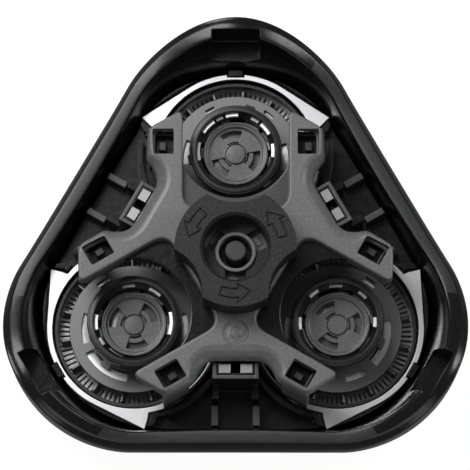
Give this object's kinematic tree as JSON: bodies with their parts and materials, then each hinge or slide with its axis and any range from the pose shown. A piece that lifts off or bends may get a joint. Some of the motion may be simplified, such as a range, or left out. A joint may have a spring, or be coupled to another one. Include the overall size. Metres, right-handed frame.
{
  "type": "rotary shaver head",
  "caption": "Three-sided rotary shaver head, face down: open back with retaining frame, turning lock disc and tilting heads with spinning cutters.",
  "frame": {"origin": "on the head's axis, in the plane of the three shaving faces", "axes": "+Z from the shaving faces towards the open back, +Y towards the corner that holds head a, +X to the right in the picture"},
  "size_m": [0.0668, 0.0628, 0.0199],
  "materials": {
    "housing_black": "moulded gloss black plastic",
    "carrier_black": "moulded gloss black plastic",
    "bezel_steel": "bright stamped steel",
    "guard_steel": "fine ground steel",
    "ring_black": "moulded black plastic",
    "blade_steel": "satin steel",
    "collar_black": "moulded satin black plastic",
    "hub_grey": "moulded satin dark grey plastic",
    "clip_steel": "spring steel",
    "frame_grey": "moulded satin dark grey plastic",
    "post_grey": "moulded satin grey plastic",
    "lock_grey": "fine spark-textured dark grey plastic"
  },
  "bodies": {
    "housing": {"housing_shell": "housing_black", "inner_carrier": "carrier_black", "bezel_plate_a": "bezel_steel", "bezel_plate_b": "bezel_steel", "bezel_plate_c": "bezel_steel", "side_clip_a": "clip_steel", "side_clip_b": "clip_steel", "side_clip_c": "clip_steel", "retaining_frame": "frame_grey", "centre_post": "post_grey"},
    "head_a": {"cutter_guard_a": "guard_steel", "pivot_ring_a": "ring_black"},
    "cutter_a": {"blade_disc_a": "blade_steel", "blade_collar_a": "collar_black", "drive_hub_a": "hub_grey"},
    "head_b": {"cutter_guard_b": "guard_steel", "pivot_ring_b": "ring_black"},
    "cutter_b": {"blade_disc_b": "blade_steel", "blade_collar_b": "collar_black", "drive_hub_b": "hub_grey"},
    "head_c": {"cutter_guard_c": "guard_steel", "pivot_ring_c": "ring_black"},
    "cutter_c": {"blade_disc_c": "blade_steel", "blade_collar_c": "collar_black", "drive_hub_c": "hub_grey"},
    "lock": {"lock_disc": "lock_grey"}
  },
  "joints": [
    {"name": "tilt_a", "type": "hinge", "parent": "housing", "child": "head_a", "pos_m": [0, 0.0169, 0.0026], "axis": [1, 0, 0], "range_deg": [-3, 3]},
    {"name": "spin_a", "type": "hinge", "parent": "head_a", "child": "cutter_a", "pos_m": [0, 0.0169, 0.0026], "axis": [0, 0, 1], "continuous": true},
    {"name": "tilt_b", "type": "hinge", "parent": "housing", "child": "head_b", "pos_m": [-0.01464, -0.00845, 0.0026], "axis": [-0.5, 0.866, 0], "range_deg": [-3, 3]},
    {"name": "spin_b", "type": "hinge", "parent": "head_b", "child": "cutter_b", "pos_m": [-0.01464, -0.00845, 0.0026], "axis": [0, 0, 1], "continuous": true},
    {"name": "tilt_c", "type": "hinge", "parent": "housing", "child": "head_c", "pos_m": [0.01464, -0.00845, 0.0026], "axis": [-0.5, -0.866, 0], "range_deg": [-3, 3]},
    {"name": "spin_c", "type": "hinge", "parent": "head_c", "child": "cutter_c", "pos_m": [0.01464, -0.00845, 0.0026], "axis": [0, 0, 1], "continuous": true},
    {"name": "lock_turn", "type": "hinge", "parent": "housing", "child": "lock", "pos_m": [0, 0, 0.0175], "axis": [0, 0, 1], "range_deg": [0, 40]}
  ]
}
